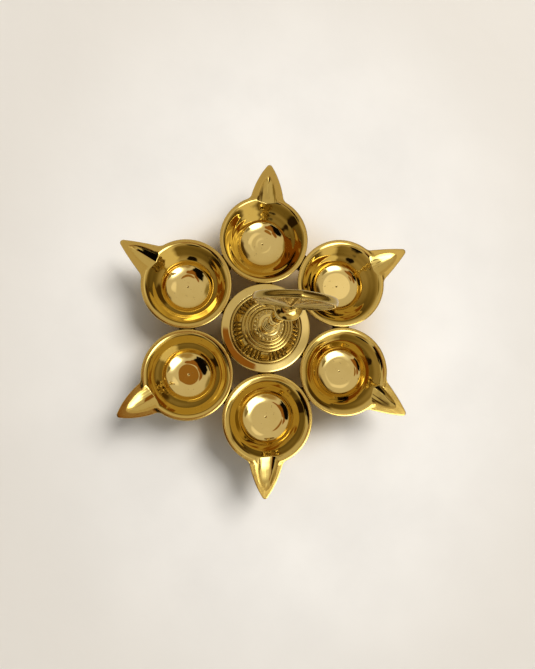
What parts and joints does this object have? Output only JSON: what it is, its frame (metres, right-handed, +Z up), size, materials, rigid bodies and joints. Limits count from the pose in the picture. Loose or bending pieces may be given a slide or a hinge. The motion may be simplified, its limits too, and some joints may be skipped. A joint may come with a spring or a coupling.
{
  "type": "diya",
  "caption": "Cast brass oil lamp: footed cups with pointed wick spouts in a ring round a turned centre base with a stem and an upright ribbed plate.",
  "frame": {"origin": "on the lamp's axis, at the bottom of its feet", "axes": "+Z up along the stem; +Y towards the first cup, whose spout points nearly along +Y; +X to the right in the picture"},
  "size_m": [0.1639, 0.1871, 0.151],
  "materials": {
    "cast_brass": "polished cast brass",
    "turned_brass": "bright turned brass",
    "braze": "dark oxidised brazing brass",
    "stud_steel": "plain turned steel"
  },
  "bodies": {
    "root": {"lamp_cup_1": "cast_brass", "lamp_cup_2": "cast_brass", "lamp_cup_3": "cast_brass", "lamp_cup_4": "cast_brass", "lamp_cup_5": "cast_brass", "lamp_cup_6": "cast_brass", "outer_lug_1": "braze", "outer_lug_2": "braze", "outer_lug_3": "braze", "outer_lug_4": "braze", "outer_lug_5": "braze", "outer_lug_6": "braze", "inner_lug_1": "braze", "inner_lug_2": "braze", "inner_lug_3": "braze", "inner_lug_4": "braze", "inner_lug_5": "braze", "inner_lug_6": "braze", "centre_base": "cast_brass", "reeded_dome": "cast_brass", "pearl_collar": "turned_brass", "stem_lower": "turned_brass", "stem_upper": "turned_brass", "stem_knob": "turned_brass", "finial_plate": "cast_brass", "tie_stud": "stud_steel", "base_washer": "stud_steel", "base_nut": "stud_steel"}
  },
  "joints": []
}
